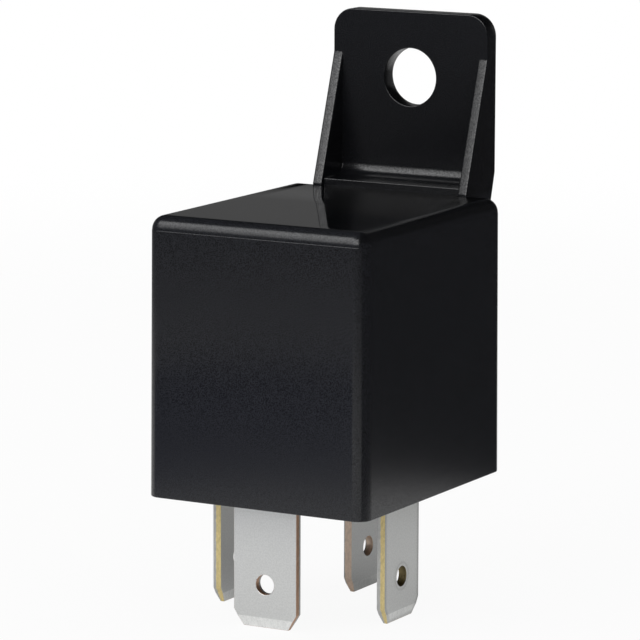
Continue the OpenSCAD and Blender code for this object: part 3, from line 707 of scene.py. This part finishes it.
class RELAY_OT_cover(bpy.types.Operator):
    """Builds the moulded cover: a drafted box open below, with the screw bracket on its back edge"""

    bl_idname = "relay.cover"
    bl_label = "Cover"

    def execute(self, context):
        scene = context.scene
        size, arm = scene.relay_cover, scene.relay_bracket
        shell = self.shell(size)
        bracket = self.bracket(size, arm)
        combine(shell, bracket, "UNION")
        shade(shell)
        roof = COVER_LOW.z + size.height
        parting = roof - size.top_radius
        sharpen(shell, (parting, parting - 2 * size.parting_step))
        step_front = COVER_LOW.y + size.depth + arm.offset - arm.gusset_reach + arm.setback
        finish = moulded_plastic("black_moulding", scene.relay_finish.cover,
                                 lambda s, place: cover_zones(s, place, roof, step_front))
        dress(shell, finish, "cover")
        return {"FINISHED"}

    def shell(self, size):
        """Rings from the ceiling's middle down the inner walls, round the open rim, up the drafted outside,
        over the step that the mould leaves and round the top edges to the roof. A row holds a ring's inset,
        its height and its corners' radius. The inset is the draft, which grows evenly with height, plus what
        a quarter circle takes in at the rim and at the roof."""
        r, rim, step = size.top_radius, size.rim_radius, size.parting_step
        rise = size.height - r
        inner, chamfer = size.inner_radius, size.chamfer
        inset = size.wall + size.draft
        ceiling = size.height - size.roof
        inside = np.array([
            [inset + 4 * chamfer, ceiling, 2 * chamfer],
            [inset + chamfer, ceiling - chamfer / 2, inner],
            [inset, ceiling - inner, inner],
        ])
        turn = np.linspace(0, math.pi / 2, 5)
        lip = np.stack([size.wall - rim + rim * np.cos(turn), rim - rim * np.sin(turn), np.full(5, inner)],
                       axis=-1)
        taken = rim * (1 - np.sin(turn))
        edge = np.stack([taken, rim * (1 - np.cos(turn)), size.corner_radius - taken], axis=-1)
        wall_top = rise - 2 * step
        walls = np.array([[size.draft * wall_top / rise, wall_top, size.corner_radius]])
        over = np.linspace(0, math.pi / 2, 15)
        taken = step + r * (1 - np.cos(over))
        least, flat = 0.00002, 0.0006
        top = np.stack([size.draft + taken, rise + r * np.sin(over),
                        np.maximum(size.corner_radius - taken, least)], axis=-1)
        middle = np.array([[size.draft + step + r + flat, size.height, least]])
        rows = np.concatenate([inside, lip, edge, walls, top, middle])
        half_w, half_d = size.width / 2, size.depth / 2
        rings = rounded_loops(half_w - rows[:, 0], half_d - rows[:, 0], rows[:, 2], rows[:, 1], 14)
        rings += np.array([0.0, COVER_LOW.y + half_d, COVER_LOW.z])
        return loft("cover_moulding", rings)

    def bracket(self, size, arm):
        """The plate and its root are a profile in y and z, kept inside the plate's outline in x and z. The
        step, its hollow and the gussets are joined to it, the hole is cut, and every edge is rounded."""
        back = COVER_LOW.y + size.depth
        z = COVER_LOW.z + size.height
        front = back + arm.offset
        rear = front + arm.thickness
        deep, beyond = front + arm.thickness / 2, rear + arm.thickness / 2
        before = front - arm.thickness / 2
        under = z - size.roof / 2
        inner = arm.width / 2 - arm.gusset_thickness
        root = z - arm.root_drop
        low = root + arm.offset
        lean = (arm.lean_rise + z - low) * math.tan(arm.lean_angle)
        wall_y = back - size.draft
        inside_y = wall_y - size.wall / 2
        plate = prism("bracket", [
            [front, under], [front, z + arm.rise], [rear, z + arm.rise], [rear, z + arm.lean_rise],
            [rear - lean, low], [wall_y, root], [inside_y, root], [inside_y, under],
        ], "x", -arm.width, arm.width)
        spare = 0.01
        half, r = arm.width / 2, arm.corner_radius
        top = z + arm.rise
        outline = np.concatenate([
            [[-half, z - spare], [half, z - spare]], arc((half - r, top - r), r, 0, 90, 24),
            arc((r - half, top - r), r, 90, 180, 24),
        ])
        combine(plate, prism("outline", outline, "y", back - spare, rear + spare), "INTERSECT")
        for side in (-1, 1):
            combine(plate, self.gusset(arm, side, front, under, z), "UNION")
        floor = z + arm.step
        step_front = front - arm.gusset_reach + arm.setback
        step = np.concatenate([
            [[step_front, under], [step_front, floor]],
            arc((front - arm.hollow, floor + arm.hollow), arm.hollow, 270, 360, 14),
            [[deep, floor + arm.hollow], [deep, under]],
        ])
        combine(plate, prism("step", step, "x", -inner, inner), "UNION")
        hole = arc((0.0, z + arm.hole_rise), arm.hole_diameter / 2, 0, 360, 96)[:-1]
        combine(plate, prism("hole", hole, "y", before, beyond), "DIFFERENCE")
        tidy_mesh(plate.data, merge=2e-6, flat=math.radians(0.5))
        return applied(soften(plate, arm.edge_radius, segments=3, angle=12))

    def gusset(self, arm, side, front, under, roof):
        """One outline in y and z for each station across the gusset's thickness. An outline's sloping edge
        is sunk by the crown times the square of the station, from -1 to 1, plus the lean's tangent times the
        way from the outer side. It comes out to the plate's front over the last of its reach."""
        across = np.array([-1, -0.6, -0.3, 0, 0.3, 0.6, 1])
        half = arm.gusset_thickness / 2
        x = side * (arm.width / 2 - half) + across * half
        sunk = arm.gusset_crown * across ** 2 + (1 - side * across) * half * math.tan(arm.gusset_lean)
        foot = front - arm.gusset_reach
        deep = front + arm.thickness / 2
        toe, top = roof + arm.toe, roof + arm.gusset_rise
        near = 0.92
        outline = (
            (foot, 1, under), (foot, 1, toe),
            (foot + near * arm.gusset_reach, 1, toe + near * (top - toe)),
            (front, 0, top), (deep, 0, top), (deep, 0, under),
        )
        corners = [np.stack([x, y + share * sunk, x * 0 + level], axis=-1) for y, share, level in outline]
        solid = loft("gusset", np.stack(corners, axis=1))
        face_outwards(solid)
        return solid


class RELAY_OT_blades(bpy.types.Operator):
    """Finishes the four blades: tin plate with bare stamped edges, and a pressed ring on one coil blade"""

    bl_idname = "relay.blades"
    bl_label = "Blades"

    def execute(self, context):
        blade, tones = context.scene.relay_blade, context.scene.relay_finish
        # The last column is each blade's factor of painted light or shade on its tin
        for node, name, across, bare, span, painted_brightness in (
            ("terminal_85", "coil_blade_85", "y", tones.brass, (-0.00004, 0.001), 1.06),
            ("terminal_86", "coil_blade_86", "y", tones.brass, (-0.0001, 0.001), 0.99),
            ("terminal_30", "common_blade_30", "y", tones.bronze, (-0.00028, 0.001), 0.82),
            ("terminal_87", "switched_blade_87", "x", tones.copper, (-0.001, 0.0001), 1.06),
        ):
            low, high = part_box(node)
            if across == "y":
                place = ((low.x + high.x) / 2, low.y + blade.width / 2, low.z)
            else:
                place = (0.0, low.y + blade.thickness / 2, low.z)
            ring = node == "terminal_85"
            finish = blade_plate(name + "_plate", blade, place, across, bare, span, painted_brightness, ring)
            piece = softened_node(node, name, blade.edge_radius, finish, angle=8)
            if ring:
                self.press_ring(piece, blade, (high.x, place[1], low.z + blade.drop - blade.hole_drop))
        return {"FINISHED"}

    def press_ring(self, piece, blade, centre):
        """A shallow groove round the hole, cut before the edges are rounded. The tool is a ring of round
        section that goes into the face by the ring's depth."""
        turn, tube = np.meshgrid(np.linspace(0, 2 * math.pi, 64, endpoint=False),
                                 np.linspace(0, 2 * math.pi, 12, endpoint=False))
        thick = blade.ring_section
        away = blade.ring_radius + thick * np.cos(tube)
        x = centre[0] + thick - blade.ring_depth + thick * np.sin(tube)
        points = np.stack([x, centre[1] + away * np.cos(turn), centre[2] + away * np.sin(turn)], axis=-1)
        faces = grid_faces(13, 64) % (12 * 64)
        torus = mesh_object("ring", points.reshape(-1, 3), faces.tolist())
        face_outwards(torus)
        cut = piece.modifiers.new("pressed ring", "BOOLEAN")
        cut.operation, cut.solver, cut.object = "DIFFERENCE", "EXACT", torus
        piece.modifiers.move(len(piece.modifiers) - 1, 0)
        applied(piece)
        bpy.data.objects.remove(torus)


class RELAY_OT_base(bpy.types.Operator):
    """Finishes the moulded base that closes the cover and holds the blades"""

    bl_idname = "relay.base"
    bl_label = "Base"

    def execute(self, context):
        finish = moulded_plastic("base_moulding", context.scene.relay_finish.base)
        softened_node("base", "base_plate", 0.00008, finish)
        return {"FINISHED"}


class RELAY_OT_magnet(bpy.types.Operator):
    """Finishes the magnet: yoke, core, armature, stop strap, bobbin, winding and tape"""

    bl_idname = "relay.magnet"
    bl_label = "Magnet"

    def execute(self, context):
        tones = context.scene.relay_finish
        steel = brushed_metal("plated_steel", tones.steel, 0.3, (1.0, 1.0, 0.15))
        iron = brushed_metal("turned_iron", tinted(tones.steel, 0.92), 0.26, (1.0, 1.0, 0.3))
        plastic = moulded_plastic("bobbin_moulding", tones.bobbin)
        enamel = wound_wire("winding", tones.wire, 0.00012)
        film = film_tape("tape", tones.tape, 0.0004)
        for node, radius, finish, slot in (
            ("yoke", 0.00006, steel, "magnet_steel"),
            ("core", 0.00004, iron, "magnet_steel"),
            ("armature", 0.00005, steel, "magnet_steel"),
            ("open_stop", 0.00005, steel, "magnet_steel"),
            ("bobbin", 0.00006, plastic, "bobbin_plastic"),
            ("coil_winding", 0.0, enamel, "copper_wire"),
            ("coil_tape", 0.0, film, "coil_tape"),
        ):
            softened_node(node, node + "_finished", radius, finish)
        return {"FINISHED"}


class RELAY_OT_contacts(bpy.types.Operator):
    """Finishes the contact leaf and the two contact rivets"""

    bl_idname = "relay.contacts"
    bl_label = "Contacts"

    def execute(self, context):
        tones = context.scene.relay_finish
        leaf = brushed_metal("rolled_copper", tones.leaf, 0.3, (1.0, 0.15, 1.0))
        silver = brushed_metal("contact_silver", tones.silver, 0.36)
        for node, finish, slot in (
            ("contact_leaf", leaf, "leaf_copper"),
            ("moving_contact", silver, "contact_silver"),
            ("fixed_contact", silver, "contact_silver"),
        ):
            softened_node(node, node + "_finished", 0.00003, finish)
        return {"FINISHED"}


class RELAY_OT_wires(bpy.types.Operator):
    """Finishes the coil leads, the flexible lead and the return spring"""

    bl_idname = "relay.wires"
    bl_label = "Wires and spring"

    def execute(self, context):
        tones = context.scene.relay_finish
        enamel = brushed_metal("enamelled_wire", tones.wire, 0.26)
        strands = brushed_metal("copper_strands", tones.leaf, 0.34, (1.0, 1.0, 0.3))
        spring = brushed_metal("spring_wire", tones.steel, 0.24)
        for node, finish, slot in (
            ("coil_lead_85", enamel, "copper_wire"),
            ("coil_lead_86", enamel, "copper_wire"),
            ("flexible_lead", strands, "copper_wire"),
            ("return_spring", spring, "spring_steel"),
        ):
            piece = node_copy(node, node + "_finished", flat=math.radians(0.05))
            piece.data.shade_smooth()
            piece.data.set_sharp_from_angle(angle=math.radians(60))
            dress(piece, finish, node)
        return {"FINISHED"}


# Studio

def pale_floor(tone):
    """A pale matte floor that fades into the white background away from the relay. Most of what the
    camera sees of it is plain white, so that the relay's shadow stays soft. Mirrored, it is nearly white in
    front of the relay. Behind it, it is plain at the left, and at the right it gets whiter with distance:
    this paints shade near the relay, and light further off, into what reflects it."""
    s = material("pale_floor")
    x, y, _ = s.parts(s.place())
    away = (x * x + y * y) ** 0.5
    paths = s.add("ShaderNodeLightPath")
    mirrored = paths.out("Is Glossy Ray").most(paths.out("Is Transmission Ray"))
    # Painted shade and light in reflections: the white lift is taken away behind the relay, so the floor
    # shows darker there, and comes back at the right with distance
    behind = y.between(-0.03, 0.01)
    right = (x * ACROSS[0] - y * ACROSS[1]).between(0.002, 0.006)
    beside = right * (0.14 + 0.5 * away.between(0.015, 0.06))
    white_share = 0.93 * paths.out("Is Camera Ray") + mirrored * (0.85 - behind * (0.75 - beside))
    matte = s.add("ShaderNodeBsdfDiffuse", None, {"Color": (tone, tone, tone)})
    lifted = s.add("ShaderNodeMixShader", None, {0: white_share, 1: matte, 2: s.glow(1.0)})
    fade = (away + mirrored * 0.07).between(0.15, 0.30)
    clear = s.add("ShaderNodeBsdfTransparent")
    return s.show(s.add("ShaderNodeMixShader", None, {0: fade, 1: lifted, 2: clear}))


def card_glow(name, strength, tint=WHITE):
    """An even light of its own, for a card that only shows in reflections."""
    s = material(name)
    return s.show(s.glow(strength, tint))


def softbox_glow(strength):
    """The softbox's front, seen from its centre: even in its upper half, dimmer towards the left in its
    lower half, and fading out at the bottom. Climb is the sine of the height."""
    s = material("softbox_glow")
    x, y, z = s.parts(s.place(SOFTBOX_CENTRE))
    level = x * x + y * y
    turn = x / level ** 0.5
    climb = z / (level + z * z) ** 0.5
    high = climb.between(0.45, 0.65)
    low = (0.25 + 0.95 * turn.between(-0.8, -0.2)) * climb.between(0.2, 0.42)
    return s.show(s.glow(strength * (high + low * (1 - high))))


def tent_glow(low_tone, dark_tone):
    """The tent's inside: a soft grey low behind the relay, and nearly black elsewhere."""
    s = material("tent_inside")
    x, y, z = s.parts(s.place())
    away = (x * x + y * y + z * z) ** 0.5
    low = 1 - (z / away).between(0.28, 0.38)
    behind = (y / away).between(-0.2, 0.3)
    return s.show(s.glow(dark_tone + low * behind * (low_tone - dark_tone)))


def only_reflected(piece):
    """Hides a stage piece from all but glossy and transmission rays."""
    piece.visible_camera = False
    piece.visible_diffuse = False
    piece.visible_shadow = False
    piece.visible_volume_scatter = False


class RELAY_OT_stage(bpy.types.Operator):
    """Sets up the pale floor, what shows in reflections, the lamp, the world and the camera"""

    bl_idname = "relay.stage"
    bl_label = "Studio"

    def execute(self, context):
        studio = context.scene.relay_studio
        self.floor(studio)
        self.tent(studio)
        self.reflectors(studio)
        self.lamp(context, studio)
        self.world(context, studio)
        self.camera(context)
        context.scene.view_settings.view_transform = "Standard"
        return {"FINISHED"}

    def floor(self, studio):
        """One flat face at the level of the blade tips, through points at the radius times the cosine and
        sine of the turn."""
        turn = np.linspace(0, 2 * math.pi, 96, endpoint=False)
        points = studio.floor_radius * np.stack([np.cos(turn), np.sin(turn), 0 * turn], axis=-1)
        piece = mesh_object("floor", points, [list(range(96))])
        piece.data.materials.append(pale_floor(studio.floor))

    def tent(self, studio):
        """A ball about the relay that only shows in reflections: the radius times the cosine and sine of
        an angle of height, from nearly straight below to nearly straight above."""
        turn = np.linspace(0, 2 * math.pi, 96, endpoint=False)[None, :]
        climb = np.radians(np.linspace(-89, 89, 61))[:, None]
        points = studio.tent_radius * np.stack([np.cos(climb) * np.cos(turn), np.cos(climb) * np.sin(turn),
                                                np.sin(climb) + 0 * turn], axis=-1)
        dome = mesh_object("tent", points.reshape(-1, 3), grid_faces(61, 96).tolist())
        dome.data.materials.append(tent_glow(studio.tent, 0.004))
        only_reflected(dome)

    def reflectors(self, studio):
        """The softbox at the left of the front, which lights the rounded edges, and two dark cards close to
        the relay that keep the white floor out of the cover's reflections. The blades see the floor below
        them."""
        right_glow = card_glow("right_card_glow", studio.right_card)
        left_glow = card_glow("left_card_glow", studio.left_card, (0.84, 0.94, 1.5))
        box_glow = softbox_glow(studio.softbox)
        self.patch("softbox", SOFTBOX_CENTRE, studio.lamp_reach, (-62, 25), (6, 57), box_glow)
        self.patch("right_card", (0.011, -0.002, 0.018), 0.05, (38, 175), (-19, 60), right_glow)
        self.patch("left_card", (0.0, -0.015, 0.011), 0.04, (-75, -8), (-9, 8), left_glow)

    def patch(self, name, centre, reach, turns, heights, finish):
        """Part of a ball that only shows in reflections: the reach times the cosine and sine of its height
        and of its turn. Turns are in degrees from the front towards the right."""
        turn = np.radians(np.linspace(*turns, 25))[None, :]
        height = np.radians(np.linspace(*heights, 17))[:, None]
        points = reach * np.stack([np.cos(height) * np.sin(turn), -np.cos(height) * np.cos(turn),
                                   np.sin(height) + 0 * turn], axis=-1) + np.array(centre)
        quads = grid_faces(17, 25).reshape(16, 25, 4)[:, :24].reshape(-1, 4)
        piece = mesh_object(name, points.reshape(-1, 3), quads.tolist())
        piece.data.materials.append(finish)
        only_reflected(piece)
        return piece

    def lamp(self, context, studio):
        """A large square lamp at the left of the front that looks at the relay."""
        data = bpy.data.lights.new("key_lamp", "AREA")
        data.energy = studio.key
        data.size = studio.lamp_size
        lamp = bpy.data.objects.new("key_lamp", data)
        context.scene.collection.objects.link(lamp)
        way = Vector((-0.5, -1.0, 0.7)).normalized()
        lamp.location = Vector(SOFTBOX_CENTRE) + studio.lamp_reach * way
        lamp.rotation_mode = "QUATERNION"
        lamp.rotation_quaternion = way.to_track_quat("Z", "Y")
        lamp.visible_camera = False
        lamp.visible_glossy = False

    def world(self, context, studio):
        """White for what is seen directly, in a mirror or through glass, and an even fill for the rest."""
        world = bpy.data.worlds.new("studio")
        context.scene.world = world
        s = Shader(world)
        paths = s.add("ShaderNodeLightPath")
        seen = paths.out("Is Camera Ray").most(paths.out("Is Glossy Ray"))
        seen = seen.most(paths.out("Is Transmission Ray"))
        strength = studio.sky + seen * (1.0 - studio.sky)
        sky = s.add("ShaderNodeBackground", None, {"Color": WHITE, "Strength": strength})
        s.add("ShaderNodeOutputWorld", None, {"Surface": sky})

    def camera(self, context):
        """The photograph's viewpoint: 29.2 degrees round to the right and 9.7 degrees up, 0.371 m from a
        point near the cover's middle. The lens and the small shift put the frame of 640 by 640 pixels where
        the photograph's edges meet it."""
        frame_px = 640
        focal_px = 4172.49
        middle_px = (327.98, 315.84)
        roll = 0.0032
        distance = 0.37078
        level = math.cos(CAMERA_RISE)
        back = Vector((ACROSS[1] * level, -ACROSS[0] * level, math.sin(CAMERA_RISE)))
        level_right = Vector((*ACROSS, 0.0))
        upright = back.cross(level_right)
        right = level_right * math.cos(roll) + upright * math.sin(roll)
        top = upright * math.cos(roll) - level_right * math.sin(roll)
        target = Vector((0.0000837, COVER_LOW.y + 0.013, COVER_LOW.z + 0.0151742))
        data = bpy.data.cameras.new("camera")
        data.sensor_width = 36.0
        data.lens = focal_px / frame_px * data.sensor_width
        data.shift_x = 0.5 - middle_px[0] / frame_px
        data.shift_y = middle_px[1] / frame_px - 0.5
        data.clip_start, data.clip_end = 0.01, 10.0
        camera = bpy.data.objects.new("camera", data)
        context.scene.collection.objects.link(camera)
        camera.rotation_mode = "QUATERNION"
        camera.rotation_quaternion = Matrix((right, top, back)).transposed().to_quaternion()
        camera.location = target + back * distance
        context.scene.camera = camera


PIECES = (RELAY_OT_cover, RELAY_OT_blades, RELAY_OT_base, RELAY_OT_magnet, RELAY_OT_contacts, RELAY_OT_wires,
          RELAY_OT_stage)


class RELAY_PT_panel(bpy.types.Panel):
    """The relay's sizes, finishes and steps"""

    bl_label = "Automotive Relay"
    bl_idname = "RELAY_PT_panel"
    bl_space_type = "VIEW_3D"
    bl_region_type = "UI"
    bl_category = "Relay"

    def draw(self, context):
        for step in PIECES:
            self.layout.operator(step.bl_idname)
        for group in GROUPS:
            column = self.layout.column(align=True)
            for key in GROUPS[group].__annotations__:
                column.prop(getattr(context.scene, group), key)


def register():
    for kind in (*GROUPS.values(), *PIECES, RELAY_PT_panel):
        bpy.utils.register_class(kind)
    for name, kind in GROUPS.items():
        setattr(bpy.types.Scene, name, PointerProperty(type=kind))


def unregister():
    for name in GROUPS:
        delattr(bpy.types.Scene, name)
    for kind in reversed((*GROUPS.values(), *PIECES, RELAY_PT_panel)):
        bpy.utils.unregister_class(kind)


def main():
    """Builds the relay and its studio."""
    register()
    bpy.ops.relay.cover()
    bpy.ops.relay.blades()
    bpy.ops.relay.base()
    bpy.ops.relay.magnet()
    bpy.ops.relay.contacts()
    bpy.ops.relay.wires()
    bpy.ops.relay.stage()


if __name__ == "__main__":
    main()
